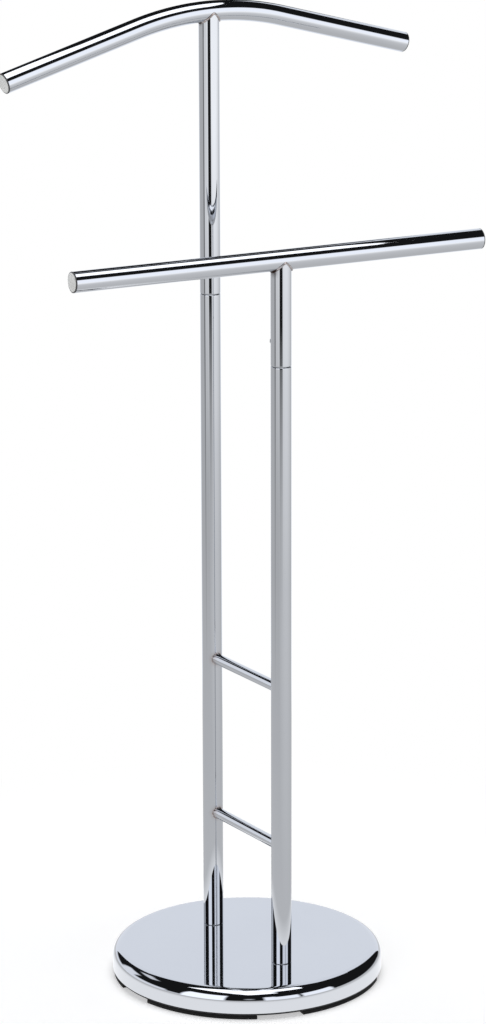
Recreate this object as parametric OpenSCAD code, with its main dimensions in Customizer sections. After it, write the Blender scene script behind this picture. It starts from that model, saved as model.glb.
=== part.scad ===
// Two-post valet stand: a weighted round base carries a tall rear post with a
// drooping coat hanger and a shorter front post with a straight trouser bar.
// Each post is a lower tube, fixed to the base and tied to the other by two
// rungs, and a welded head that swivels on a turned spigot in the top of it.
// The origin is on the floor under the middle of the base.  X runs along the
// bars, +Y points from the front post to the rear post, Z is up.

/* [Base] */
// Outside diameter of the chromed base cover
base_d = 296; // [230:1:360]
// Height of the base cover, from its lower edge to its flat top
base_h = 25.5; // [24:0.5:36]
// Radius of the rounded shoulder round the top of the cover
shoulder_r = 13; // [8:0.5:20]
// Sheet thickness of the cover
cover_t = 1; // [0.8:0.1:2]
// Thickness of the cast ballast disc under the cover
weight_t = 8; // [6:0.5:12]
// Thickness of the plastic bottom plate
plate_t = 3; // [2:0.25:4]
// How far the bottom plate shows below the cover's edge
plate_drop = 2.5; // [1:0.25:3]
// Height of the locating lip round the bottom plate
plate_lip_h = 4; // [2:0.5:6]

/* [Foot pads] */
// Number of curved foot pads
pad_count = 5; // [5:1:5]
// Angle that each pad covers
pad_span = 52; // [30:1:64]
// Width of a pad, measured towards the middle of the base
pad_w = 22; // [12:1:30]
// Thickness of a pad
pad_t = 4.5; // [3:0.5:8]

/* [Posts] */
// Outside diameter of every large tube
tube_d = 22; // [18:0.5:28]
// Wall of every large tube
tube_wall = 1.2; // [1:0.1:2]
// Distance between the axes of the two posts
post_spacing = 140; // [110:1:180]
// Height of the joint in the rear post above the floor
rear_seam_z = 750; // [600:1:900]
// Height of the joint in the front post above the floor
front_seam_z = 698; // [580:1:840]
// Rounding on the rim of each cut tube end
end_round = 0.9; // [0.4:0.1:0.9]

/* [Rungs] */
// Diameter of the two rungs between the posts
rung_d = 12; // [8:0.5:16]
// Height of the lower rung's axis above the floor
lower_rung_z = 165; // [100:1:220]
// Height of the upper rung's axis above the floor
upper_rung_z = 343; // [260:1:500]

/* [Coat hanger] */
// Height of the hanger's axis at its highest point
hanger_z = 1053; // [960:1:1200]
// Radius of the bow at the middle of the hanger
bow_r = 345; // [200:5:500]
// Droop of each arm below the horizontal
arm_droop = 15; // [8:1:22]
// Straight length of each arm
arm_l = 163; // [120:1:200]

/* [Trouser bar] */
// Height of the trouser bar's axis
trouser_z = 811; // [760:1:920]
// Length of the trouser bar's tube
trouser_l = 474; // [400:2:620]
// Turn of the trouser bar on its post, from square across the stand
trouser_turn = -5.6; // [-8:0.2:8]

/* [Swivel joints] */
// Diameter of the spigot that each head turns on
spigot_d = 14; // [11:0.5:14]
// Length of spigot inside the head
spigot_l = 44; // [38:1:60]
// Length of spigot pressed into the lower tube
spigot_root_l = 35; // [20:1:50]
// Length of the bush in the bottom of each head
bush_l = 40; // [34:1:50]
// Diameter of the lock screws
lock_screw_d = 5; // [4:0.5:6]
// Height of a lock screw above its seam
lock_screw_z = 26.5; // [16:0.5:28]
// How far the lock screw's domed end stands out of the tube
lock_screw_dome = 1; // [0.5:0.1:2]
// Size of the hexagon socket across its flats
lock_screw_hex = 2.5; // [2:0.5:3]
// Direction of the rear lock screw, from the X axis
rear_screw_dir = 90; // [0:5:355]
// Direction of the front lock screw, from the X axis
front_screw_dir = 140; // [0:5:355]

/* [End caps] */
// Thickness of a cap's rim, flush with the tube
cap_rim_t = 1; // [0.6:0.1:2]
// Height of a cap's shallow dome
cap_dome_h = 1.6; // [0.8:0.1:3]
// Length of a cap's plug inside the tube
cap_plug_l = 12; // [6:1:20]
// Wall of a cap's plug
cap_plug_wall = 1.6; // [1:0.1:2.5]

/* [Post fixings] */
// Diameter of the bolts that hold the posts
bolt_d = 8; // [6:1:10]
// Size of a bolt's head across its flats
bolt_head_af = 13; // [10:0.5:17]
// Thickness of a bolt's head
bolt_head_t = 5.3; // [4:0.1:6]
// Outside diameter of a washer
washer_d = 20; // [18:0.5:26]
// Thickness of a washer
washer_t = 1.6; // [1:0.1:2]
// Length of thread in the plug at the foot of a post
bolt_grip = 22; // [12:1:26]
// Length of the threaded plug at the foot of a post
plug_l = 30; // [28:1:45]

/* [Bottom plate screws] */
// Number of screws that hold the bottom plate
plate_screw_count = 4; // [3:1:6]
// Diameter of the screws
plate_screw_d = 4; // [3:0.5:5]
// Diameter of their pan heads
plate_screw_head_d = 8; // [7:0.5:9]
// Thickness of their pan heads
plate_screw_head_t = 2.4; // [1.6:0.1:2.5]
// Length of thread in the ballast
plate_screw_grip = 6; // [4:0.5:6]
// Distance of the screws from the inner edge of the pads
plate_screw_inset = 28; // [12:1:40]
// Diameter of the posts on the plate that the screws pass through
boss_d = 12; // [11:0.5:16]

/* [Fits] */
// Radial gap of the swivel bearings and of threads in their holes
running_gap = 0.05; // [0.02:0.01:0.1]
// Radial gap of pieces that are pressed or glued home
press_gap = 0.02; // [0.01:0.01:0.05]
// Gap between a welded tube end and the tube it is welded to
weld_gap = 0.05; // [0.02:0.01:0.1]
// Gap between the two halves of a post at the seam
seam_gap = 0.3; // [0.2:0.1:0.5]
// Radial gap round a bolt in a plain hole
hole_gap = 0.5; // [0.2:0.1:1]
// Gap between the bottom plate and the inside of the cover
plate_gap = 0.5; // [0.2:0.1:1]

/* [Hidden] */
$fn = 96;

CHROME = "#d3d7dc";
STEEL = "#9aa0a6";
IRON = "#4b4d50";
BLACK = "#1b1c1e";
CAP = "#b9bbb8";

eps = 0.01;
tube_r = tube_d / 2;
bore_r = tube_r - tube_wall;
post_y = post_spacing / 2;

base_r = base_d / 2;
rim_z = pad_t + plate_drop;
base_top_z = rim_z + base_h;
plate_r = base_r - cover_t - plate_gap;
plate_top_z = pad_t + plate_t;
weight_z = base_top_z - cover_t - weight_t;
weight_r = base_r - shoulder_r - cover_t;
bolt_hole_r = bolt_d / 2 + hole_gap;
bolt_head_z = weight_z - washer_t - bolt_head_t;
plate_screw_ring_r = plate_r - pad_w - plate_screw_inset;
plate_screw_hole_r = plate_screw_d / 2 + running_gap;

spigot_r = spigot_d / 2;
lock_groove_depth = 1;
lock_groove_w = lock_screw_d + 1.5;
lock_tip_d = lock_screw_d - 1.5;
lock_tip_gap = 0.3;
lock_tip_r = spigot_r - lock_groove_depth + lock_tip_gap;
lock_shank_r = spigot_r + 1;
lock_hole_r = lock_screw_d / 2 + running_gap;
lock_socket_depth = 2;

thread_run_out = 2;
plate_thread_run_out = 0.5;
plate_lip_t = 2;
plate_slot_w = 1;
plate_slot_depth = 1.2;
plate_head_gap = 0.5;

// ---- shapes that repeat ----

// Rounds the outer corner of a tube's wall section whose end is at y = 0,
// with the tube below it.
module end_corner_2d() {
    translate([tube_r - end_round, -end_round]) difference() {
        square(2 * end_round);
        circle(r = end_round);
    }
}

// Straight tube standing on z = 0, with its outer rims rounded where asked.
module post_tube(h, round_bottom, round_top) {
    rotate_extrude() difference() {
        translate([bore_r, 0]) square([tube_wall, h]);
        if (round_top) translate([0, h]) end_corner_2d();
        if (round_bottom) mirror([0, 1]) end_corner_2d();
    }
}

// Moves a piece from the bow's own frame, in which the bow starts on the X axis
// and turns about Z, to the hanger's right side with its highest axis point at
// the origin.
module in_bow() {
    translate([0, 0, -bow_r]) rotate([90, 0, 0]) rotate([0, 0, 90 - arm_droop]) children();
}

// The bow as a solid rod of radius r, turned through an angle.
module bow(turn, r) {
    rotate_extrude(angle = turn) translate([bow_r, 0]) circle(r = r);
}

// Right half of the hanger as a solid rod of radius r, cut off square at the
// middle, with its arm run on past the end by extra.
module half_hanger(r, extra = 0) {
    intersection() {
        in_bow() {
            bow(1.5 * arm_droop, r);
            translate([bow_r, 0, 0]) rotate([90, 0, 0]) cylinder(r = r, h = arm_l + extra);
        }
        translate([0, -bow_r, -bow_r]) cube([2 * bow_r, 2 * bow_r, 2 * bow_r]);
    }
}

// Moves a piece to the open end of the right arm, its Z along the arm.
module at_arm_end() {
    translate([0, post_y, hanger_z]) in_bow() translate([bow_r, -arm_l, 0]) rotate([90, 0, 0]) children();
}

// Moves a piece, whose Z then runs along the trouser bar, to a point on the bar
// that is reach to the right of its middle.
module on_trouser_bar(reach) {
    translate([0, -post_y, trouser_z]) rotate([0, 0, trouser_turn])
        translate([reach, 0, 0]) rotate([0, 90, 0]) children();
}

// Push-in cap for a tube end at z = 0: hollow plug below, rim and dome above.
module end_cap() {
    dome_sphere_r = (pow(tube_r, 2) + pow(cap_dome_h, 2)) / (2 * cap_dome_h);
    plug_r = bore_r - press_gap;
    color(CAP) {
        cylinder(r = tube_r, h = cap_rim_t);
        translate([0, 0, cap_rim_t]) intersection() {
            cylinder(r = tube_r, h = cap_dome_h);
            translate([0, 0, cap_dome_h - dome_sphere_r]) sphere(r = dome_sphere_r);
        }
        translate([0, 0, -cap_plug_l]) difference() {
            cylinder(r = plug_r, h = cap_plug_l);
            translate([0, 0, -eps]) cylinder(r = plug_r - cap_plug_wall, h = cap_plug_l + eps);
        }
    }
}

// Lower half of a post: from the base cover to its seam.
module lower_tube(y, seam_z) {
    color(CHROME) translate([0, y, base_top_z]) post_tube(seam_z - base_top_z, true, true);
}

// Rung between the posts, its ends cut to fit round them.
module rung(z) {
    color(CHROME) difference() {
        translate([0, post_y, z]) rotate([90, 0, 0]) cylinder(d = rung_d, h = post_spacing);
        for (y = [-post_y, post_y]) translate([0, y, z - rung_d])
            cylinder(r = tube_r + weld_gap, h = 2 * rung_d);
    }
}

// Plug pressed into the foot of a post, tapped for the bolt from below.
module foot_plug(y) {
    color(STEEL) translate([0, y, base_top_z]) difference() {
        cylinder(r = bore_r - press_gap, h = plug_l);
        translate([0, 0, -eps])
            cylinder(r = bolt_d / 2 + running_gap, h = bolt_grip + thread_run_out + eps);
    }
}

// Hexagon bolt that pulls a post down on the base.
module post_bolt(y) {
    color(STEEL) translate([0, y, bolt_head_z]) {
        cylinder(d = bolt_head_af / cos(30), h = bolt_head_t, $fn = 6);
        cylinder(d = bolt_d, h = base_top_z + bolt_grip - bolt_head_z);
    }
}

module post_washer(y) {
    color(STEEL) translate([0, y, weight_z - washer_t]) difference() {
        cylinder(d = washer_d, h = washer_t);
        translate([0, 0, -eps]) cylinder(r = bolt_hole_r, h = washer_t + 2 * eps);
    }
}

// Turned spigot: a root pressed into the lower tube, a bearing length for the
// head above the seam, and a groove that the lock screw's tip stands in.
module spigot(y, seam_z) {
    color(STEEL) translate([0, y, seam_z]) difference() {
        union() {
            translate([0, 0, -spigot_root_l]) cylinder(r = bore_r - press_gap, h = spigot_root_l);
            cylinder(r = spigot_r, h = spigot_l);
        }
        translate([0, 0, lock_screw_z - lock_groove_w / 2]) difference() {
            cylinder(r = spigot_r + 1, h = lock_groove_w);
            cylinder(r = spigot_r - lock_groove_depth, h = lock_groove_w);
        }
    }
}

// Hole through a post's wall for its lock screw, in the direction dir.
module lock_hole(y, seam_z, dir) {
    translate([0, y, seam_z + lock_screw_z]) rotate([0, 0, dir]) rotate([0, 90, 0])
        cylinder(r = lock_hole_r, h = tube_r + 1);
}

// Bush fixed in the bottom of a head; it turns on the spigot.
module bush(y, seam_z, dir) {
    color(STEEL) difference() {
        translate([0, y, seam_z + seam_gap]) difference() {
            cylinder(r = bore_r - press_gap, h = bush_l);
            translate([0, 0, -eps]) cylinder(r = spigot_r + running_gap, h = bush_l + 2 * eps);
        }
        lock_hole(y, seam_z, dir);
    }
}

// Domed socket screw that clamps a head to its spigot.
module lock_screw(y, seam_z, dir) {
    dome_r = (pow(lock_screw_d / 2, 2) + pow(lock_screw_dome, 2)) / (2 * lock_screw_dome);
    color(STEEL) translate([0, y, seam_z + lock_screw_z]) rotate([0, 0, dir]) rotate([0, 90, 0])
        difference() {
            union() {
                translate([0, 0, lock_tip_r]) cylinder(d = lock_tip_d, h = lock_shank_r - lock_tip_r);
                translate([0, 0, lock_shank_r]) cylinder(d = lock_screw_d, h = tube_r - lock_shank_r);
                translate([0, 0, tube_r]) intersection() {
                    cylinder(d = lock_screw_d, h = lock_screw_dome);
                    translate([0, 0, lock_screw_dome - dome_r]) sphere(r = dome_r);
                }
            }
            translate([0, 0, tube_r + lock_screw_dome - lock_socket_depth])
                cylinder(d = lock_screw_hex / cos(30), h = lock_socket_depth + 1, $fn = 6);
        }
}

// Curved pad number k, counted from the X axis, stuck under the bottom plate.
module foot_pad(k) {
    color(BLACK) rotate([0, 0, (k - 1) * 360 / pad_count - pad_span / 2])
        rotate_extrude(angle = pad_span) translate([plate_r - pad_w, 0]) square([pad_w, pad_t]);
}

// Puts a piece at each bottom plate screw.
module at_plate_screws() {
    for (k = [0 : plate_screw_count - 1])
        rotate([0, 0, (k + 0.5) * 360 / plate_screw_count]) translate([plate_screw_ring_r, 0, 0])
            children();
}

// ---- base ----

// Half section of the cover's outside, drawn in by inset and run down to z = foot.
module cover_section(inset, foot) {
    top = base_top_z - inset;
    side = base_r - inset;
    r = shoulder_r - inset;
    translate([0, foot]) square([side, top - r - foot]);
    translate([0, foot]) square([side - r, top - foot]);
    translate([side - r, top - r]) intersection() {
        circle(r = r);
        square(r);
    }
}

module base_cover() {
    color(CHROME) difference() {
        rotate_extrude() difference() {
            cover_section(0, rim_z);
            cover_section(cover_t, rim_z - 1);
        }
        for (y = [-post_y, post_y]) translate([0, y, weight_z])
            cylinder(r = bolt_hole_r, h = weight_t + cover_t + 1);
    }
}

module base_weight() {
    color(IRON) difference() {
        translate([0, 0, weight_z]) cylinder(r = weight_r, h = weight_t);
        for (y = [-post_y, post_y]) translate([0, y, weight_z - 1])
            cylinder(r = bolt_hole_r, h = weight_t + 2);
        at_plate_screws() translate([0, 0, weight_z - 1])
            cylinder(r = plate_screw_hole_r, h = plate_screw_grip + 1 + plate_thread_run_out);
    }
}

module base_plate() {
    color(BLACK) difference() {
        translate([0, 0, pad_t]) union() {
            difference() {
                cylinder(r = plate_r, h = plate_t + plate_lip_h);
                translate([0, 0, plate_t]) cylinder(r = plate_r - plate_lip_t, h = plate_lip_h + 1);
            }
            at_plate_screws() cylinder(d = boss_d, h = weight_z - pad_t);
        }
        at_plate_screws() {
            translate([0, 0, pad_t - 1]) cylinder(r = plate_screw_d / 2 + hole_gap, h = weight_z);
            translate([0, 0, pad_t - 1])
                cylinder(d = plate_screw_head_d + 2 * plate_head_gap, h = plate_t + 1);
        }
    }
}

module base_plate_screws() {
    color(STEEL) at_plate_screws() translate([0, 0, plate_top_z]) difference() {
        union() {
            translate([0, 0, -plate_screw_head_t])
                cylinder(d = plate_screw_head_d, h = plate_screw_head_t);
            cylinder(d = plate_screw_d, h = weight_z - plate_top_z + plate_screw_grip);
        }
        for (turn = [0, 90]) rotate([0, 0, turn])
            translate([-plate_screw_d / 2, -plate_slot_w / 2, -plate_screw_head_t - 1])
                cube([plate_screw_d, plate_slot_w, plate_slot_depth + 1]);
    }
}

// ---- heads ----

module rear_upper_tube() {
    z = rear_seam_z + seam_gap;
    color(CHROME) difference() {
        translate([0, post_y, z]) post_tube(hanger_z - z, true, false);
        translate([0, post_y, hanger_z]) in_bow() bow(2 * arm_droop, tube_r + weld_gap);
        lock_hole(post_y, rear_seam_z, rear_screw_dir);
    }
}

module hanger_bar() {
    color(CHROME) translate([0, post_y, hanger_z]) for (side = [0, 1]) mirror([side, 0, 0])
        difference() {
            half_hanger(tube_r);
            half_hanger(bore_r, 1);
        }
}

module front_upper_tube() {
    z = front_seam_z + seam_gap;
    color(CHROME) difference() {
        translate([0, -post_y, z]) post_tube(trouser_z - z, true, false);
        on_trouser_bar(-tube_d) cylinder(r = tube_r + weld_gap, h = 2 * tube_d);
        lock_hole(-post_y, front_seam_z, front_screw_dir);
    }
}

module trouser_bar() {
    color(CHROME) on_trouser_bar(-trouser_l / 2) difference() {
        cylinder(r = tube_r, h = trouser_l);
        translate([0, 0, -1]) cylinder(r = bore_r, h = trouser_l + 2);
    }
}

base_cover();
base_weight();
base_plate();
base_plate_screws();
foot_pad(1);  // foot_pad_1
foot_pad(2);  // foot_pad_2
foot_pad(3);  // foot_pad_3
foot_pad(4);  // foot_pad_4
foot_pad(5);  // foot_pad_5
lower_tube(post_y, rear_seam_z);  // rear_lower_tube
lower_tube(-post_y, front_seam_z);  // front_lower_tube
rung(upper_rung_z);  // upper_rung
rung(lower_rung_z);  // lower_rung
foot_plug(post_y);  // rear_foot_plug
foot_plug(-post_y);  // front_foot_plug
post_bolt(post_y);  // rear_post_bolt
post_bolt(-post_y);  // front_post_bolt
post_washer(post_y);  // rear_post_washer
post_washer(-post_y);  // front_post_washer
spigot(post_y, rear_seam_z);  // rear_spigot
spigot(-post_y, front_seam_z);  // front_spigot
rear_upper_tube();
hanger_bar();
mirror([1, 0, 0]) at_arm_end() end_cap();  // hanger_cap_left
at_arm_end() end_cap();  // hanger_cap_right
bush(post_y, rear_seam_z, rear_screw_dir);  // rear_bush
lock_screw(post_y, rear_seam_z, rear_screw_dir);  // rear_lock_screw
front_upper_tube();
trouser_bar();
on_trouser_bar(-trouser_l / 2) mirror([0, 0, 1]) end_cap();  // trouser_cap_left
on_trouser_bar(trouser_l / 2) end_cap();  // trouser_cap_right
bush(-post_y, front_seam_z, front_screw_dir);  // front_bush
lock_screw(-post_y, front_seam_z, front_screw_dir);  // front_lock_screw
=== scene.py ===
import math

import bmesh
import bpy
from mathutils import Euler, Matrix, Vector


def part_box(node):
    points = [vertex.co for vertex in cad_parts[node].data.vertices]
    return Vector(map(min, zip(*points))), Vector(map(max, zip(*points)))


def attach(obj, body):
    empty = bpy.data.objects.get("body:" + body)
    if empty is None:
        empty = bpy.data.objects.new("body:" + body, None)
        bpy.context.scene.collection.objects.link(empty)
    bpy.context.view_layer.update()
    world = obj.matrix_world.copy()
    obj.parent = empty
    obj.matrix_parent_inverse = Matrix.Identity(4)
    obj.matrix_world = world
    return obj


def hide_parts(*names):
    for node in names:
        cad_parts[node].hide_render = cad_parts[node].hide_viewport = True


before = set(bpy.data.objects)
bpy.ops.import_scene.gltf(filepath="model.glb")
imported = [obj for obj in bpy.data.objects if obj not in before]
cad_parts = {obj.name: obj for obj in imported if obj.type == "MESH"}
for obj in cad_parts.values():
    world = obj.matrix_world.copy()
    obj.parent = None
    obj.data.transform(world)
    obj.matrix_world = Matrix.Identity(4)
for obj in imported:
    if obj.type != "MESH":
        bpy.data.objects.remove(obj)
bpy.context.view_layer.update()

# ---- sizes, in metres, that the CAD boxes don't give ----

ROUND = 128                      # columns round a large tube
MM = 0.001
TUBE_WALL = 1.2 * MM
END_ROUND = 0.9 * MM             # rounding on a cut tube end
HOLD = 2 * MM                    # short length that holds the shading straight next to an edge
BOW_RADIUS = 345 * MM
ARM_DROOP = math.radians(15)
BAR_TURN = math.radians(-5.6)    # turn of the trouser bar on its post
SHOULDER = 13 * MM
COVER_SHEET = 1 * MM
PLATE_SHEET = 3 * MM
PLATE_LIP = 2 * MM
PAD_SPAN = math.radians(52)
PAD_WIDTH = 22 * MM
PAD_COUNT = 5
CAP_RIM = 1 * MM
CAP_DOME = 1.6 * MM
CAP_PLUG = 12 * MM
CAP_PLUG_WALL = 1.6 * MM
WELD_GAP = 0.05 * MM
SCREW_RADIUS = 2.5 * MM
SCREW_DOME = 1 * MM
SCREW_SOCKET = 1.25 * MM         # half of the hexagon socket's width across its flats
SOCKET_DEPTH = 2 * MM
CAP_FIT = 0.02 * MM              # gap between a cap's plug and its bore
CAP_EDGE = 0.25 * MM             # rounding on a cap's rim
SOFT_EDGE = 0.6 * MM             # rounding on moulded edges
WELD_STAND = 0.1 * MM            # how far a bead's middle stands off its tube


def middle(node):
    """The middle of a CAD node's box."""
    low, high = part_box(node)
    return (low + high) / 2


rear_low, rear_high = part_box("rear_lower_tube")
front_low, front_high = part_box("front_lower_tube")
TUBE = (rear_high.x - rear_low.x) / 2
BORE = TUBE - TUBE_WALL
REAR = middle("rear_lower_tube")
FRONT = middle("front_lower_tube")
HANGER_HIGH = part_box("hanger_bar")[1]
HANGER_Z = HANGER_HIGH.z - TUBE
TROUSER = middle("trouser_bar")
BAR_ALONG = Vector((math.cos(BAR_TURN), math.sin(BAR_TURN), 0))
TROUSER_HALF = (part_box("trouser_bar")[1].x - TUBE * abs(BAR_ALONG.y)) / BAR_ALONG.x
BOW_CENTRE = Vector((0, REAR.y, HANGER_Z - BOW_RADIUS))
ARM = (HANGER_HIGH.x - (TUBE + BOW_RADIUS) * math.sin(ARM_DROOP)) / math.cos(ARM_DROOP)
COVER_LOW, COVER_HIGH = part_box("base_cover")
PLATE_LOW, PLATE_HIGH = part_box("base_plate")


# ---- modelling ----

def start(add, name, **place):
    """Adds a primitive at its size and place, moves its place into its mesh and opens it for shaping."""
    bpy.ops.object.select_all(action="DESELECT")
    add(**place)
    piece = bpy.context.active_object
    piece.name = piece.data.name = name
    bpy.ops.object.transform_apply(location=True, rotation=True, scale=True)
    bpy.ops.object.mode_set(mode="EDIT")
    bpy.ops.mesh.select_all(action="SELECT")
    return piece


def only(piece):
    """Selects one piece and nothing else."""
    bpy.ops.object.select_all(action="DESELECT")
    piece.select_set(True)
    bpy.context.view_layer.objects.active = piece


def reopen(piece):
    """Opens a piece for shaping again."""
    only(piece)
    bpy.ops.object.mode_set(mode="EDIT")


def close():
    bpy.ops.object.mode_set(mode="OBJECT")


def pick(piece, kind, test):
    """Selects only the vertices, edges or faces all of whose points pass the test."""
    bpy.ops.mesh.select_mode(type=kind)
    bpy.ops.mesh.select_all(action="DESELECT")
    shape = bmesh.from_edit_mesh(piece.data)
    for element in {"VERT": shape.verts, "EDGE": shape.edges, "FACE": shape.faces}[kind]:
        points = [element] if kind == "VERT" else element.verts
        if all(test(point.co) for point in points):
            element.select_set(True)
    shape.select_flush_mode()
    bmesh.update_edit_mesh(piece.data)


def extrude(*move):
    bpy.ops.mesh.extrude_region_move(TRANSFORM_OT_translate={"value": move})


def extrude_to(scale, centre):
    """Extrudes what is selected and draws it in or out round a centre."""
    bpy.ops.mesh.extrude_region_move(TRANSFORM_OT_translate={"value": (0, 0, 0)})
    bpy.ops.transform.resize(value=(scale, scale, 1), center_override=centre)


def top_of_ball(name, segments, rings, rim, rise, z):
    """The top of a ball, cut off at height z: its edge has the radius rim, its middle stands rise above it."""
    ball = (rim ** 2 + rise ** 2) / (2 * rise)
    piece = start(bpy.ops.mesh.primitive_uv_sphere_add, name, segments=segments, ring_count=rings,
                  radius=ball, location=(0, 0, z + rise - ball))
    bpy.ops.mesh.bisect(plane_co=(0, 0, z), plane_no=(0, 0, 1), clear_inner=True, threshold=1e-8)
    pick(piece, "EDGE", lambda p: near(p.z, z))
    widest = max(math.hypot(v.co.x, v.co.y) for v in bmesh.from_edit_mesh(piece.data).verts)
    bpy.ops.transform.resize(value=(rim / widest, rim / widest, 1), center_override=(0, 0, z))
    return piece


def outward():
    """Merges what coincides and points every face outwards."""
    bpy.ops.mesh.select_all(action="SELECT")
    bpy.ops.mesh.remove_doubles(threshold=1e-6)
    bpy.ops.mesh.normals_make_consistent(inside=False)


def apply(piece, kind, **settings):
    """Adds one modifier to a piece and applies it."""
    only(piece)
    modifier = piece.modifiers.new(kind.title(), kind)
    for setting, value in settings.items():
        setattr(modifier, setting, value)
    bpy.ops.object.modifier_apply(modifier=modifier.name)


def smooth(piece, angle=35):
    """Smooths the shading up to an angle and keeps the broad faces true."""
    only(piece)
    bpy.ops.object.shade_smooth_by_angle(angle=math.radians(angle))
    apply(piece, "WEIGHTED_NORMAL", mode="FACE_AREA", weight=60, keep_sharp=True)


def copy_to(piece, name, matrix):
    """A copy of a piece with its own mesh, moved by a matrix that ends up in the mesh."""
    copy = piece.copy()
    copy.data = piece.data.copy()
    copy.name = copy.data.name = name
    bpy.context.scene.collection.objects.link(copy)
    copy.matrix_world = matrix
    only(copy)
    bpy.ops.object.transform_apply(location=True, rotation=True, scale=True)
    return copy


def near(a, b, slack=0.02 * MM):
    return abs(a - b) < slack


def at_ring(centre, radius, z):
    """Test for points of an upright tube's ring."""
    return lambda p: near(p.z, z) and near(math.hypot(p.x - centre.x, p.y - centre.y), radius)


def upright(name, centre, foot, top):
    """Open upright tube skin, with short holding lengths next to its ends."""
    piece = start(bpy.ops.mesh.primitive_circle_add, name, vertices=ROUND, radius=TUBE,
                  location=(centre.x, centre.y, foot))
    for length in (HOLD, top - foot - 2 * HOLD, HOLD):
        extrude(0, 0, length)
    outward()
    close()
    apply(piece, "SOLIDIFY", thickness=TUBE_WALL, offset=-1)
    return piece


def round_rims(piece, centre, *heights):
    """Rounds the outer rims of an upright tube."""
    reopen(piece)
    for z in heights:
        pick(piece, "EDGE", at_ring(centre, TUBE, z))
        bpy.ops.mesh.bevel(offset=END_ROUND, segments=5, profile=0.5)
    close()


def lower_post(name, centre, low, high):
    """Plain lower half of a post, both rims rounded."""
    piece = upright(name, centre, low.z, high.z)
    round_rims(piece, centre, low.z, high.z)
    smooth(piece)
    return piece


def under_trouser_bar(x, y):
    """Height of the trouser bar's underside above a point of the front post, given from its axis."""
    across = y * BAR_ALONG.x - x * BAR_ALONG.y
    return TROUSER.z - math.sqrt(max((TUBE + WELD_GAP) ** 2 - across * across, 0))


def under_hanger(x, y):
    """Height of the bow's underside above a point of the rear post, given from its axis."""
    inner = BOW_RADIUS - math.sqrt(max((TUBE + WELD_GAP) ** 2 - y * y, 0))
    return BOW_CENTRE.z + math.sqrt(inner * inner - x * x)


def raise_to(piece, test, height):
    """Moves the points that pass the test up or down, each by what height gives for its place."""
    moves = {round(height(v.co), 6) for v in bmesh.from_edit_mesh(piece.data).verts if test(v.co)}
    for move in moves:
        pick(piece, "VERT", lambda p: test(p) and round(height(p), 6) == move)
        bpy.ops.transform.translate(value=(0, 0, move))


def head_post(name, centre, node, under):
    """Upper half of a post: its foot is rounded and its top is cut to fit under its bar."""
    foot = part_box(node)[0].z
    level = under(TUBE, 0) - HOLD
    piece = upright(name, centre, foot, level)
    reopen(piece)
    raise_to(piece, lambda p: near(p.z, level), lambda p: under(p.x - centre.x, p.y - centre.y) - level)
    close()
    round_rims(piece, centre, foot)
    smooth(piece)
    return piece


def hanger_tube():
    """The bowed hanger: a straight arm, the bow turned round its centre, and the other arm."""
    along = Vector((math.cos(ARM_DROOP), 0, math.sin(ARM_DROOP)))
    turn = BOW_CENTRE + Vector((-math.sin(ARM_DROOP), 0, math.cos(ARM_DROOP))) * BOW_RADIUS
    piece = start(bpy.ops.mesh.primitive_circle_add, "hanger_tube", vertices=ROUND, radius=TUBE,
                  location=turn - along * ARM, rotation=(0, math.pi / 2 - ARM_DROOP, 0))
    for length in (HOLD, ARM - HOLD):
        extrude(*(along * length))
    # with no window, spin turns the other way
    bpy.ops.mesh.spin(steps=60, angle=-2 * ARM_DROOP, center=BOW_CENTRE, axis=(0, 1, 0))
    down = Vector((along.x, 0, -along.z))
    for length in (ARM - HOLD, HOLD):
        extrude(*(down * length))
    outward()
    close()
    apply(piece, "SOLIDIFY", thickness=TUBE_WALL, offset=-1)
    smooth(piece)
    return piece


def trouser_tube():
    """The straight trouser bar."""
    piece = start(bpy.ops.mesh.primitive_circle_add, "trouser_tube", vertices=ROUND, radius=TUBE,
                  location=TROUSER - BAR_ALONG * TROUSER_HALF, rotation=(0, math.pi / 2, BAR_TURN))
    for length in (HOLD, 2 * TROUSER_HALF - 2 * HOLD, HOLD):
        extrude(*(BAR_ALONG * length))
    outward()
    close()
    apply(piece, "SOLIDIFY", thickness=TUBE_WALL, offset=-1)
    smooth(piece)
    return piece


def end_cap():
    """One push-in cap for a tube that ends at z = 0: dome and rim above, hollow plug below."""
    piece = top_of_ball("cap_pattern", 96, 128, TUBE, CAP_DOME, CAP_RIM)
    extrude(0, 0, -CAP_RIM)
    plug = BORE - CAP_FIT
    extrude_to(plug / TUBE, (0, 0, 0))
    extrude(0, 0, -CAP_PLUG)
    extrude_to((plug - CAP_PLUG_WALL) / plug, (0, 0, -CAP_PLUG))
    extrude(0, 0, CAP_PLUG)
    bpy.ops.mesh.edge_face_add()
    outward()
    pick(piece, "EDGE", lambda p: near(math.hypot(p.x, p.y), TUBE) and (near(p.z, CAP_RIM) or near(p.z, 0)))
    bpy.ops.mesh.bevel(offset=CAP_EDGE, segments=3, profile=0.5)
    pick(piece, "EDGE", lambda p: near(p.z, -CAP_PLUG) and near(math.hypot(p.x, p.y), plug))
    bpy.ops.mesh.bevel(offset=SOFT_EDGE, segments=2, profile=0.5)
    close()
    smooth(piece, 30)
    rim = piece.data.attributes.new("rim", "FLOAT", "POINT")
    rim_start, rim_fade = 0.88, 0.05
    for vertex in piece.data.vertices:
        outer = math.hypot(vertex.co.x, vertex.co.y) / TUBE
        above_plug = vertex.co.z > -0.1 * MM
        rim.data[vertex.index].value = min(max((outer - rim_start) / rim_fade, 0), 1) if above_plug else 0
    return piece


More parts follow.
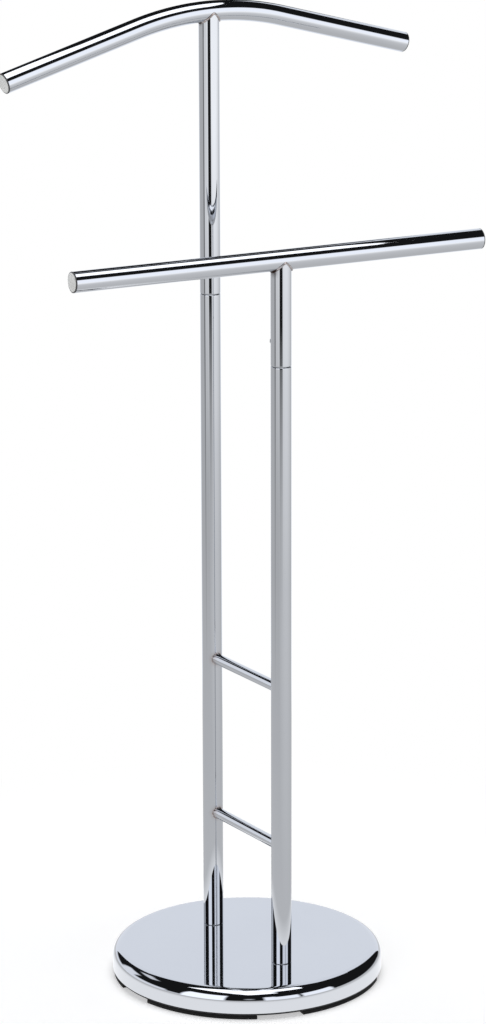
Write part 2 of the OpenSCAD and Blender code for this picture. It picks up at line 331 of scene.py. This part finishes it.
def rung_rod(name, z, radius):
    """Rung between the posts, its ends cut to fit round them."""
    seat = TUBE + WELD_GAP
    half = (REAR.y - FRONT.y) / 2 - math.sqrt(seat ** 2 - radius ** 2)
    centre_y = (REAR.y + FRONT.y) / 2
    columns = 64
    piece = start(bpy.ops.mesh.primitive_cylinder_add, name, vertices=columns, radius=radius,
                  depth=2 * half, location=(0, centre_y, z), rotation=(math.pi / 2, 0, 0))
    for side in (-1, 1):
        pick(piece, "FACE", lambda p: near(p.y, centre_y + side * half))
        bpy.ops.mesh.delete(type="FACE")
    spans = {}
    for vertex in bmesh.from_edit_mesh(piece.data).verts:
        x = abs(vertex.co.x)
        spans[round(x, 6)] = (REAR.y - FRONT.y) / 2 - math.sqrt(seat ** 2 - x ** 2)
    for side in (-1, 1):
        for x, reach in spans.items():
            pick(piece, "VERT", lambda p: near(p.y, centre_y + side * half) and round(abs(p.x), 6) == x)
            bpy.ops.transform.translate(value=(0, side * (reach - half), 0))
    for side in (-1, 1):
        pick(piece, "EDGE", lambda p: side * (p.y - centre_y) > half - 4 * MM)
        bpy.ops.mesh.edge_face_add()
    outward()
    close()
    smooth(piece)
    return piece


def base_cover():
    """Pressed round cover: side, rounded shoulder, flat top and a rolled lower edge."""
    radius = COVER_HIGH.x
    piece = start(bpy.ops.mesh.primitive_circle_add, "cover", vertices=256, radius=radius,
                  location=(0, 0, COVER_LOW.z))
    for length in (HOLD / 2, COVER_HIGH.z - COVER_LOW.z - HOLD / 2):
        extrude(0, 0, length)
    bpy.ops.mesh.edge_face_add()
    bpy.ops.mesh.inset(thickness=SHOULDER + 4 * MM, depth=0)
    for step in (20 * MM, 40 * MM, 60 * MM):
        bpy.ops.mesh.inset(thickness=step * 0.6, depth=0)
    outward()
    pick(piece, "EDGE", lambda p: near(p.z, COVER_HIGH.z) and near(math.hypot(p.x, p.y), radius))
    bpy.ops.mesh.bevel(offset=SHOULDER, segments=24, profile=0.5)
    close()
    apply(piece, "SOLIDIFY", thickness=COVER_SHEET, offset=-1)
    reopen(piece)
    pick(piece, "EDGE", lambda p: near(p.z, COVER_LOW.z))
    bpy.ops.mesh.bevel(offset=0.4 * MM, segments=3, profile=0.5)
    close()
    smooth(piece)
    return piece


def bottom_plate():
    """Moulded bottom plate: a disc with a rounded lower edge, a locating lip and a shallow ring groove."""
    radius = PLATE_HIGH.x
    lip = 4 * MM
    top = PLATE_LOW.z + PLATE_SHEET
    piece = start(bpy.ops.mesh.primitive_cylinder_add, "bottom_plate", vertices=192, radius=radius,
                  depth=PLATE_SHEET, location=(0, 0, PLATE_LOW.z + PLATE_SHEET / 2))
    pick(piece, "FACE", lambda p: near(p.z, top))
    bpy.ops.mesh.inset(thickness=PLATE_LIP, depth=0)
    pick(piece, "FACE", lambda p: near(p.z, top) and math.hypot(p.x, p.y) > radius - 1.5 * PLATE_LIP)
    extrude(0, 0, lip)
    pick(piece, "FACE", lambda p: near(p.z, PLATE_LOW.z))
    bpy.ops.mesh.inset(thickness=PAD_WIDTH + 6 * MM, depth=0)
    bpy.ops.mesh.inset(thickness=1.5 * MM, depth=-0.6 * MM)
    bpy.ops.mesh.inset(thickness=2 * MM, depth=0)
    bpy.ops.mesh.inset(thickness=1.5 * MM, depth=0.6 * MM)
    pick(piece, "EDGE", lambda p: near(math.hypot(p.x, p.y), radius)
         and (near(p.z, PLATE_LOW.z) or near(p.z, top + lip)))
    bpy.ops.mesh.bevel(offset=SOFT_EDGE, segments=3, profile=0.5)
    outward()
    close()
    smooth(piece)
    return piece


def foot_pad():
    """One curved rubber pad that starts at the X axis and runs round by its span, with soft edges."""
    low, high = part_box("foot_pad_1")
    outer = PLATE_HIGH.x
    inner = outer - PAD_WIDTH
    centre = ((outer + inner) / 2, 0, (low.z + high.z) / 2)
    piece = start(bpy.ops.mesh.primitive_plane_add, "pad_pattern", size=1,
                  location=centre, rotation=(math.pi / 2, 0, 0))
    bpy.ops.transform.resize(value=(PAD_WIDTH, 1, high.z - low.z), center_override=centre)
    bpy.ops.mesh.spin(steps=40, angle=-PAD_SPAN, center=(0, 0, 0), axis=(0, 0, 1))
    outward()
    close()
    apply(piece, "BEVEL", width=0.9 * MM, segments=4, limit_method="ANGLE", angle_limit=math.radians(40))
    smooth(piece, 30)
    return piece


def lock_screw():
    """Domed socket screw that points along +Z from the middle of its post: tip, shank, dome and socket."""
    foot, neck, tip = 6.3 * MM, 8 * MM, 1.75 * MM
    piece = top_of_ball("screw_pattern", 48, 40, SCREW_RADIUS, SCREW_DOME, TUBE)
    extrude(0, 0, neck - TUBE)
    extrude_to(tip / SCREW_RADIUS, (0, 0, 0))
    extrude(0, 0, foot - neck)
    bpy.ops.mesh.edge_face_add()
    outward()
    pick(piece, "EDGE", lambda p: near(p.z, TUBE) and near(math.hypot(p.x, p.y), SCREW_RADIUS))
    bpy.ops.mesh.bevel(offset=0.15 * MM, segments=2, profile=0.5)
    close()
    socket = start(bpy.ops.mesh.primitive_cylinder_add, "socket", vertices=6,
                   radius=SCREW_SOCKET / math.cos(math.pi / 6), depth=2 * SOCKET_DEPTH,
                   location=(0, 0, TUBE + SCREW_DOME))
    close()
    apply(piece, "BOOLEAN", operation="DIFFERENCE", object=socket, solver="EXACT")
    bpy.data.objects.remove(socket)
    smooth(piece, 30)
    return piece


def weld_bead(name, centre, under):
    """Weld bead that runs round a post's top where it meets its bar."""
    major = TUBE + WELD_STAND
    bead = 1.3 * MM
    piece = start(bpy.ops.mesh.primitive_torus_add, name, location=(centre.x, centre.y, 0),
                  major_segments=ROUND, minor_segments=12, major_radius=major, minor_radius=bead)

    def seat(p):
        turn = round(math.atan2(p.y - centre.y, p.x - centre.x), 3)
        return under(TUBE * math.cos(turn), TUBE * math.sin(turn)) - 0.15 * MM

    raise_to(piece, lambda p: abs(p.z) < 2 * bead, seat)
    outward()
    close()
    ripple = bpy.data.textures.new("ripple", "CLOUDS")
    ripple.noise_scale = 2.2 * MM
    ripple.noise_depth = 1
    apply(piece, "DISPLACE", texture=ripple, texture_coords="LOCAL", strength=0.5 * MM, mid_level=0.5)
    smooth(piece, 60)
    return piece


def rung_weld(name, side, z, radius, post):
    """Small bead round a rung's end where it meets a post."""
    bead = 0.6 * MM
    major = radius + WELD_STAND
    piece = start(bpy.ops.mesh.primitive_torus_add, name, location=(0, 0, 0), rotation=(math.pi / 2, 0, 0),
                  major_segments=72, minor_segments=10, major_radius=major, minor_radius=bead)
    moves = {}
    for vertex in bmesh.from_edit_mesh(piece.data).verts:
        turn = math.atan2(abs(vertex.co.z), abs(vertex.co.x))
        moves[round(turn, 3)] = post.y + side * math.sqrt(TUBE ** 2 - (major * math.cos(turn)) ** 2)
    for turn, move in moves.items():
        pick(piece, "VERT", lambda p: round(math.atan2(abs(p.z), abs(p.x)), 3) == turn)
        bpy.ops.transform.translate(value=(0, move, 0))
    bpy.ops.mesh.select_all(action="SELECT")
    bpy.ops.transform.translate(value=(0, 0, z))
    outward()
    close()
    smooth(piece, 60)
    return piece


# ---- materials ----

class Value:
    """A socket that Python can add, subtract, multiply and so on; each sum adds its Math node."""

    def __init__(self, recipe, socket):
        self.recipe = recipe
        self.socket = socket

    def _math(self, operation, *values, clamp=False):
        settings = {"operation": operation, "use_clamp": clamp}
        return self.recipe.node("ShaderNodeMath", settings, dict(enumerate(values)))[0]

    def __add__(self, other):
        return self._math("ADD", self, other)

    __radd__ = __add__

    def __sub__(self, other):
        return self._math("SUBTRACT", self, other)

    def __rsub__(self, other):
        return self._math("SUBTRACT", other, self)

    def __mul__(self, other):
        return self._math("MULTIPLY", self, other)

    def __truediv__(self, other):
        return self._math("DIVIDE", self, other)

    def __pow__(self, other):
        return self._math("POWER", self, other)

    def clamped(self):
        return self._math("ADD", self, 0.0, clamp=True)

    def of(self, operation, *others):
        return self._math(operation, self, *others)


class Recipe:
    """A node tree and the one method that adds nodes to it."""

    def __init__(self, tree):
        self.tree = tree
        self.tree.nodes.clear()

    def node(self, kind, settings=None, inputs=None):
        """Adds a node: its settings first, then the values or links of its sockets. Gives its outputs."""
        made = self.tree.nodes.new(kind)
        for setting, value in (settings or {}).items():
            if setting == "stops":
                for index, (place, colour) in enumerate(value):
                    if index >= len(made.color_ramp.elements):
                        made.color_ramp.elements.new(place)
                    made.color_ramp.elements[index].position = place
                    made.color_ramp.elements[index].color = colour
            else:
                setattr(made, setting, value)
        for socket, value in (inputs or {}).items():
            if isinstance(value, Value):
                self.tree.links.new(value.socket, made.inputs[socket])
            else:
                made.inputs[socket].default_value = value
        return [Value(self, output) for output in made.outputs]

    def noise(self, vector, scale, detail=2.0, roughness=0.5):
        return self.node("ShaderNodeTexNoise", {}, {
            "Vector": vector, "Scale": scale, "Detail": detail, "Roughness": roughness})[0]

    def stretched(self, vector, scale):
        return self.node("ShaderNodeMapping", {}, {"Vector": vector, "Scale": scale})[0]

    def mix(self, factor, a, b):
        return self.node("ShaderNodeMix", {"data_type": "RGBA"}, {0: factor, 6: a, 7: b})[2]

    def bump(self, height, distance):
        return self.node("ShaderNodeBump", {}, {"Height": height, "Distance": distance, "Strength": 1.0})[0]


def material(name):
    """An empty material and its recipe, with the object's own coordinates."""
    made = bpy.data.materials.new(name)
    made.use_nodes = True
    recipe = Recipe(made.node_tree)
    return made, recipe, recipe.node("ShaderNodeTexCoord")[3]


def finish_material(recipe, **sockets):
    named = {key.replace("_", " "): value for key, value in sockets.items()}
    shader = recipe.node("ShaderNodeBsdfPrincipled", {}, named)[0]
    recipe.node("ShaderNodeOutputMaterial", {}, {0: shader})


def distance_to(recipe, coords, point):
    return recipe.node("ShaderNodeVectorMath", {"operation": "DISTANCE"}, {0: coords, 1: point})[1]


def chrome(name, lay=(1, 1, 0.06), welds=(), scorch_and_shade=(0.36, 0.23, 0.17, 1)):
    """Polished chrome plate. lay stretches its faint polishing lines; welds are (point, reach) of darkened
    patches: heat tint round the rung welds, and painted shade in the recesses beside the bar joints where the
    tone given is near black.
    """
    made, recipe, coords = material(name)
    haze = recipe.noise(coords, 9.0, 3.0)
    lines = recipe.noise(recipe.stretched(coords, lay), 900.0, 2.0)
    peel = recipe.noise(coords, 70.0, 2.0)
    tone = recipe.mix(haze, (0.60, 0.615, 0.645, 1), (0.64, 0.655, 0.68, 1))
    gloss = 0.018 + haze * 0.02 + lines * 0.01
    for point, reach in welds:
        # darkened patch: heat tint at the rung welds; painted shade beside the bar joints, where the tone
        # given is near black
        heat_tint_and_shade = (1 - distance_to(recipe, coords, point) / reach).clamped() ** 1.5
        mottle = recipe.noise(coords, 420.0, 3.0)
        tone = recipe.mix((heat_tint_and_shade * (0.5 + mottle)).clamped(), tone, scorch_and_shade)
        gloss = gloss + heat_tint_and_shade * mottle * 0.35
    height = peel + lines * 0.01
    finish_material(recipe, Base_Color=tone, Metallic=1.0, Roughness=gloss,
                    Normal=recipe.bump(height, 0.004 * MM))
    return made


def weld_metal(name, pits=()):
    """Plated weld bead, brown in patches, with painted shade, near black, at the given (point, reach) in the
    recesses where the post meets its bar.
    """
    made, recipe, coords = material(name)
    patch = recipe.noise(coords, 500.0, 3.0)
    tone = recipe.mix((patch * 2.4 - 0.7).clamped(), (0.34, 0.24, 0.19, 1), (0.60, 0.59, 0.60, 1))
    gloss = 0.1 + patch * 0.18
    for point, reach in pits:
        # painted shade: the recess beside the bar joint darkened to near black
        painted_shade = ((1 - distance_to(recipe, coords, point) / reach) * 2.2).clamped()
        tone = recipe.mix(painted_shade, tone, (0.035, 0.018, 0.012, 1))
        gloss = gloss + painted_shade * 0.3
    finish_material(recipe, Base_Color=tone, Metallic=1.0, Roughness=gloss,
                    Normal=recipe.bump(recipe.noise(coords, 1400.0, 2.0), 0.05 * MM))
    return made


def cap_plastic():
    """Pale grey moulded plastic with a faint grain."""
    made, recipe, coords = material("cap_plastic")
    cloud = recipe.noise(coords, 60.0, 2.0)
    grain = recipe.noise(coords, 2500.0, 2.0)
    tone = recipe.mix(cloud, (0.88, 0.87, 0.82, 1), (0.96, 0.95, 0.90, 1))
    rim = recipe.node("ShaderNodeAttribute", {"attribute_name": "rim"})[2]
    tone = recipe.mix(rim * 0.96, tone, (0.02, 0.02, 0.02, 1))
    finish_material(recipe, Base_Color=tone, Roughness=0.34 + grain * 0.12 - rim * 0.2,
                    Normal=recipe.bump(grain, 0.02 * MM))
    return made


def black_plastic():
    """Black moulded plastic with a fine leather-like grain and dusty variation."""
    made, recipe, coords = material("black_plastic")
    cells = recipe.node("ShaderNodeTexVoronoi", {"feature": "DISTANCE_TO_EDGE"},
                        {"Vector": coords, "Scale": 900.0})[0]
    dust = recipe.noise(coords, 35.0, 4.0)
    tone = recipe.mix(dust, (0.006, 0.006, 0.007, 1), (0.02, 0.02, 0.021, 1))
    finish_material(recipe, Base_Color=tone, Roughness=0.42 + dust * 0.2, Specular_IOR_Level=0.25,
                    Normal=recipe.bump(cells, 0.05 * MM))
    return made


def pad_rubber():
    """Matt black rubber, finely pitted and slightly dusty."""
    made, recipe, coords = material("pad_rubber")
    pits = recipe.noise(coords, 1800.0, 3.0)
    dust = recipe.noise(coords, 80.0, 4.0)
    tone = recipe.mix(dust ** 2, (0.004, 0.004, 0.004, 1), (0.02, 0.019, 0.018, 1))
    finish_material(recipe, Base_Color=tone, Roughness=0.68 + pits * 0.2, Specular_IOR_Level=0.15,
                    Normal=recipe.bump(pits, 0.08 * MM))
    return made


def turned_steel():
    """Plain turned steel with fine tool rings and slight oil staining."""
    made, recipe, coords = material("plain_steel")
    rings = recipe.noise(recipe.stretched(coords, (0.02, 0.02, 1)), 5000.0, 2.0)
    stain = recipe.noise(coords, 120.0, 4.0)
    tone = recipe.mix(stain, (0.36, 0.37, 0.38, 1), (0.55, 0.55, 0.54, 1))
    finish_material(recipe, Base_Color=tone, Metallic=1.0, Roughness=0.24 + rings * 0.14 + stain * 0.08,
                    Normal=recipe.bump(rings, 0.03 * MM))
    return made


def cast_ballast():
    """Sand-cast iron, dark and rough with a few rusty patches."""
    made, recipe, coords = material("cast_ballast")
    sand = recipe.noise(coords, 700.0, 5.0, 0.65)
    rust = (recipe.noise(coords, 40.0, 5.0) * 4 - 2.1).clamped()
    iron = recipe.mix(sand, (0.045, 0.046, 0.05, 1), (0.11, 0.11, 0.115, 1))
    tone = recipe.mix(rust, iron, (0.16, 0.07, 0.035, 1))
    finish_material(recipe, Base_Color=tone, Metallic=0.6, Roughness=0.62 + sand * 0.25,
                    Normal=recipe.bump(sand, 0.4 * MM))
    return made


# ---- studio ----

def ramp(value, start, end):
    """0 up to start, 1 from end on, and straight between them. Start may be above end."""
    return ((value - start) / (end - start)).clamped()


def heading_of(x, y, heading):
    """How far a direction lies from a heading, either way, in degrees."""
    c, s = math.cos(math.radians(heading)), math.sin(math.radians(heading))
    return (y * c - x * s).of("ARCTAN2", x * c + y * s).of("ABSOLUTE") * (180 / math.pi)


def sector(x, y, first, last, soft=1.5):
    """Share of a sector between two headings, with soft edges."""
    half = (last - first) / 2
    return ramp(heading_of(x, y, first + half), half + soft, half - soft)


LIT_SIDE = (0.375, -0.927)       # direction in which the floor grows brighter for the chrome


def floor():
    """Pale floor, plain white to the eye. The chrome sees it bright near the base and on the lit side."""
    bpy.ops.object.select_all(action="DESELECT")
    bpy.ops.mesh.primitive_circle_add(vertices=128, radius=9.0, fill_type="NGON", location=(0, 0, 0))
    sheet = bpy.context.active_object
    sheet.name = "studio_floor"
    made, recipe, coords = material("studio_floor")
    x, y, _ = recipe.node("ShaderNodeSeparateXYZ", {}, {0: coords})
    away = distance_to(recipe, coords, (0, 0, 0))
    eye = recipe.node("ShaderNodeLightPath")[0]
    to_lit_side = x * LIT_SIDE[0] + y * LIT_SIDE[1]
    level = 0.70 - ramp(away, 0.3, 1.6) * 0.1 + ramp(to_lit_side, 0.3, 5.0) * 0.75
    # bright close round the base, and far off on the left
    level = level + ramp(away, 0.30, 0.19) * 0.44
    level = level + sector(x, y, 180, 222, 4) * ramp(away, 2.0, 4.0) * 0.35
    # dark in front of the stand, and in a narrow gap on the left
    level = level * (1 - sector(x, y, 223, 255) * ramp(away, 1.3, 3.3) ** 1.5 * 0.985)
    level = level * (1 - sector(x, y, 164, 176) * ramp(away, 1.0, 3.0) * 0.7)
    paper = recipe.node("ShaderNodeBsdfDiffuse", {}, {0: (0.8, 0.8, 0.8, 1)})[0]
    glow = recipe.node("ShaderNodeEmission", {}, {0: (1, 1, 1, 1), 1: 0.45})[0]
    near_lit = recipe.node("ShaderNodeAddShader", {}, {0: paper, 1: glow})[0]
    far_lit = recipe.node("ShaderNodeEmission", {}, {0: (1, 1, 1, 1), 1: 1.0})[0]
    lit = recipe.node("ShaderNodeMixShader", {}, {0: ramp(away, 0.25, 0.7), 1: near_lit, 2: far_lit})[0]
    mirrored = recipe.node("ShaderNodeEmission", {}, {0: (0.98, 0.99, 1.01, 1), 1: level})[0]
    shader = recipe.node("ShaderNodeMixShader", {}, {0: eye, 1: mirrored, 2: lit})[0]
    recipe.node("ShaderNodeOutputMaterial", {}, {0: shader})
    sheet.data.materials.append(made)


def light_sheet(name, size, place, colour, rotation=(0, 0, 0)):
    """Flat light that only the chrome sees."""
    bpy.ops.object.select_all(action="DESELECT")
    bpy.ops.mesh.primitive_plane_add(size=1, location=place, rotation=rotation)
    sheet = bpy.context.active_object
    sheet.name = name
    sheet.scale = (size[0], size[1], 1)
    made, recipe, _ = material(name)
    glow = recipe.node("ShaderNodeEmission", {}, {0: colour, 1: 1.0})[0]
    recipe.node("ShaderNodeOutputMaterial", {}, {0: glow})
    sheet.data.materials.append(made)
    sheet.visible_camera = False
    sheet.visible_diffuse = False
    sheet.visible_shadow = False


def lights():
    """Two soft boxes overhead, a low board close behind the stand and a smaller one higher on its right."""
    white = (1.9, 1.93, 2.0, 1)
    sky = (0.94, 0.98, 1.06, 1)
    behind = math.radians(57.4)
    facing = (math.pi / 2, 0, behind + math.pi / 2)
    away, wide, tall = 0.9, 1.3, 1.07
    board_place = (away * math.cos(behind), away * math.sin(behind), tall / 2)
    light_sheet("overhead_right", (1.2, 1.1), (0.39, -0.28, 2.5), white)
    light_sheet("overhead_left", (1.1, 2.4), (-0.42, -0.40, 2.51), white)
    light_sheet("board", (wide, tall), board_place, sky, facing)
    light_sheet("board_right", (0.51, 0.71), (0.894, 0.497, 1.425), sky, facing)


WALLS_START = 60                 # heading at which the table of walls begins, in degrees
ROOM_LEVEL = 0.012               # brightness of the dark room between the walls
WALLS = (
    # first and last heading, low and high edge above the horizon, softness of the edges, brightness
    (64, 107, -30, 8, 2, 1.0),         # low light behind the stand
    (107, 127, -30, 28, 2, 1.06),
    (127, 166, -30, 12, 2, 1.06),
    (104, 131, 39, 47, 1.5, 0.9),      # bright patch high on the left
    (166, 181, -30, 5, 2, 0.9),
    (181, 219, -30, 42, 1.5, 1.6),     # lit wall in front on the left
    (236, 243, 9, 18, 2, 0.5),         # small light in the dark gap
    (219, 262, 59, 68, 2, 0.12),
    (252, 262, -30, 29, 1.5, 1.4),     # lit wall in front on the right
    (262, 282, -30, 25, 1.5, 1.4),
    (285, 314, -30, 25, 1.5, 1.4),
    (314, 380, -30, 1, 2, 0.9),
)


def studio():
    """The room that the chrome mirrors: lit walls round a dark middle. The eye sees plain white."""
    world = bpy.data.worlds.new("studio")
    bpy.context.scene.world = world
    world.use_nodes = True
    recipe = Recipe(world.node_tree)
    x, y, z = recipe.node("ShaderNodeSeparateXYZ", {}, {0: recipe.node("ShaderNodeTexCoord")[0]})
    rise = z.of("ARCSINE") * (180 / math.pi)
    c, s = math.cos(math.radians(WALLS_START)), math.sin(math.radians(WALLS_START))
    heading = (x * s - y * c).of("ARCTAN2", x * -c - y * s) * (180 / math.pi) + (WALLS_START + 180)
    light = ROOM_LEVEL
    for first, last, low, high, soft, power in WALLS:
        across = ramp(heading, first - soft, first + soft) * ramp(heading, last + soft, last - soft)
        upright_share = ramp(rise, low - soft, low + soft) * ramp(rise, high + soft, high - soft)
        light = light + across * upright_share * power
    eye = recipe.node("ShaderNodeLightPath")[0]
    room = recipe.node("ShaderNodeBackground", {}, {0: (0.93, 0.96, 1.03, 1), 1: light})[0]
    white = recipe.node("ShaderNodeBackground", {}, {0: (1, 1, 1, 1), 1: 1.0})[0]
    shader = recipe.node("ShaderNodeMixShader", {}, {0: eye, 1: room, 2: white})[0]
    recipe.node("ShaderNodeOutputWorld", {}, {0: shader})


def lamp(name, place, size, power):
    """Large soft lamp aimed at the middle of the stand, that chrome doesn't mirror."""
    data = bpy.data.lights.new(name, "AREA")
    data.shape = "DISK"
    data.size = size
    data.energy = power
    made = bpy.data.objects.new(name, data)
    bpy.context.scene.collection.objects.link(made)
    made.location = place
    made.rotation_euler = (Vector((0, 0, 0)) - Vector(place)).to_track_quat("-Z", "Y").to_euler()
    made.visible_glossy = False
    made.visible_camera = False


CAMERA_PLACE = (-2.3103, -3.6659, 1.7181)
CAMERA_DOWN = 15.416             # degrees below level
CAMERA_HEADING = -32.18          # degrees
CAMERA_ROLL = -0.00316           # radians
LENS = 147.6                     # mm, on a 36 mm sensor


def camera():
    """Long lens, higher than the top of the stand, to the left of the front."""
    data = bpy.data.cameras.new("camera")
    data.sensor_width = 36
    data.lens = LENS
    made = bpy.data.objects.new("camera", data)
    bpy.context.scene.collection.objects.link(made)
    made.location = CAMERA_PLACE
    look = Euler((math.radians(90 - CAMERA_DOWN), 0, math.radians(CAMERA_HEADING))).to_matrix()
    made.rotation_euler = (look @ Matrix.Rotation(CAMERA_ROLL, 3, "Z")).to_euler()
    bpy.context.scene.camera = made


# ---- the stand ----

def paint(piece, finish):
    piece.data.materials.clear()
    piece.data.materials.append(finish)


def settle(piece, finish, body, slot, *nodes):
    """Gives a finished piece its material and its body and hides the CAD nodes that it stands for; slot is not
    used.
    """
    paint(piece, finish)
    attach(piece, body)
    if nodes:
        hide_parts(*nodes)


def build():
    bpy.context.scene.view_settings.view_transform = "Standard"
    rungs = {"upper_rung": middle("upper_rung").z, "lower_rung": middle("lower_rung").z}
    rung_low, rung_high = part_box("upper_rung")
    rung_radius = (rung_high.z - rung_low.z) / 2

    rung_ends = [((0, REAR.y - TUBE, z), 11 * MM) for z in rungs.values()]
    front_rung_ends = [((0, FRONT.y + TUBE, z), 9 * MM) for z in rungs.values()]
    post_chrome = chrome("tube_chrome", welds=rung_ends)
    front_chrome = chrome("front_tube_chrome", welds=front_rung_ends)
    # near-black tone and spots: painted shade in the recesses on both sides where each post meets the
    # underside of its bar
    painted_shade = (0.05, 0.025, 0.018, 1)
    hanger_shade_spots = [((side * TUBE, REAR.y, HANGER_Z - TUBE), 5 * MM) for side in (-1, 1)]
    trouser_shade_spots = [((side * TUBE, FRONT.y - 2 * MM, TROUSER.z - TUBE), 8 * MM) for side in (-1, 1)]
    rear_head_chrome = chrome("rear_head_chrome", welds=hanger_shade_spots, scorch_and_shade=painted_shade)
    front_head_chrome = chrome("front_head_chrome", welds=trouser_shade_spots, scorch_and_shade=painted_shade)
    bar_chrome = chrome("bar_chrome", lay=(0.06, 1, 1))
    rung_chrome = chrome("rung_chrome", lay=(1, 0.06, 1), welds=rung_ends)
    cover_chrome = chrome("cover_chrome", lay=(1, 1, 1))
    bead = weld_metal("rung_bead")
    hanger_bead = weld_metal("hanger_bead", hanger_shade_spots)
    trouser_bead = weld_metal("trouser_bead", trouser_shade_spots)
    cap = cap_plastic()
    plastic = black_plastic()
    rubber = pad_rubber()
    steel = turned_steel()
    iron = cast_ballast()

    settle(lower_post("rear_post", REAR, rear_low, rear_high), post_chrome,
           "stand", "tube_chrome", "rear_lower_tube")
    settle(lower_post("front_post", FRONT, front_low, front_high), front_chrome,
           "stand", "tube_chrome", "front_lower_tube")
    settle(head_post("rear_stem", REAR, "rear_upper_tube", under_hanger), rear_head_chrome,
           "hanger_head", "tube_chrome", "rear_upper_tube")
    settle(head_post("front_stem", FRONT, "front_upper_tube", under_trouser_bar), front_head_chrome,
           "trouser_head", "tube_chrome", "front_upper_tube")
    settle(hanger_tube(), bar_chrome, "hanger_head", "tube_chrome", "hanger_bar")
    settle(trouser_tube(), bar_chrome, "trouser_head", "tube_chrome", "trouser_bar")
    settle(weld_bead("hanger_weld", REAR, under_hanger), hanger_bead, "hanger_head", "tube_chrome")
    settle(weld_bead("trouser_weld", FRONT, under_trouser_bar), trouser_bead, "trouser_head", "tube_chrome")

    for name, z in rungs.items():
        settle(rung_rod(name + "_rod", z, rung_radius), rung_chrome, "stand", "rung_chrome", name)
        settle(rung_weld(name + "_rear_weld", -1, z, rung_radius, REAR), bead, "stand", "rung_chrome")
        settle(rung_weld(name + "_front_weld", 1, z, rung_radius, FRONT), bead, "stand", "rung_chrome")

    pattern = end_cap()
    turn = BOW_CENTRE + Vector((math.sin(ARM_DROOP), 0, math.cos(ARM_DROOP))) * BOW_RADIUS
    arm_end = turn + Vector((math.cos(ARM_DROOP), 0, -math.sin(ARM_DROOP))) * ARM
    for side, word in ((-1, "left"), (1, "right")):
        tilt = Matrix.Rotation(side * (math.pi / 2 + ARM_DROOP), 4, "Y")
        place = Matrix.Translation((side * arm_end.x, arm_end.y, arm_end.z)) @ tilt
        settle(copy_to(pattern, "hanger_end_" + word, place), cap,
               "hanger_head", "cap_plastic", "hanger_cap_" + word)
        tilt = Matrix.Rotation(BAR_TURN, 4, "Z") @ Matrix.Rotation(side * math.pi / 2, 4, "Y")
        place = Matrix.Translation(TROUSER + BAR_ALONG * side * TROUSER_HALF) @ tilt
        settle(copy_to(pattern, "trouser_end_" + word, place), cap,
               "trouser_head", "cap_plastic", "trouser_cap_" + word)
    bpy.data.objects.remove(pattern)

    settle(base_cover(), cover_chrome, "stand", "base_chrome", "base_cover")
    settle(bottom_plate(), plastic, "stand", "black_plastic", "base_plate")
    pattern = foot_pad()
    for k in range(PAD_COUNT):
        place = Matrix.Rotation(k * 2 * math.pi / PAD_COUNT - PAD_SPAN / 2, 4, "Z")
        settle(copy_to(pattern, f"pad_{k + 1}", place), rubber,
               "stand", "pad_rubber", f"foot_pad_{k + 1}")
    bpy.data.objects.remove(pattern)

    pattern = lock_screw()
    screws = (("rear", REAR, "rear_lock_screw", 90), ("front", FRONT, "front_lock_screw", 140))
    for name, post, node, heading in screws:
        turn = Matrix.Rotation(math.radians(heading), 4, "Z") @ Matrix.Rotation(math.pi / 2, 4, "Y")
        place = Matrix.Translation((post.x, post.y, middle(node).z)) @ turn
        settle(copy_to(pattern, name + "_screw", place), steel, name + "_screw", "plain_steel", node)
    bpy.data.objects.remove(pattern)

    for node in ("rear_foot_plug", "front_foot_plug", "rear_post_bolt", "front_post_bolt",
                 "rear_post_washer", "front_post_washer", "rear_spigot", "front_spigot",
                 "rear_bush", "front_bush", "base_plate_screws"):
        paint(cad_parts[node], steel)
    paint(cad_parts["base_weight"], iron)


build()
floor()
studio()
lights()
lamp("overhead", (0.3, 0.2, 3.0), 2.4, 60)
camera()
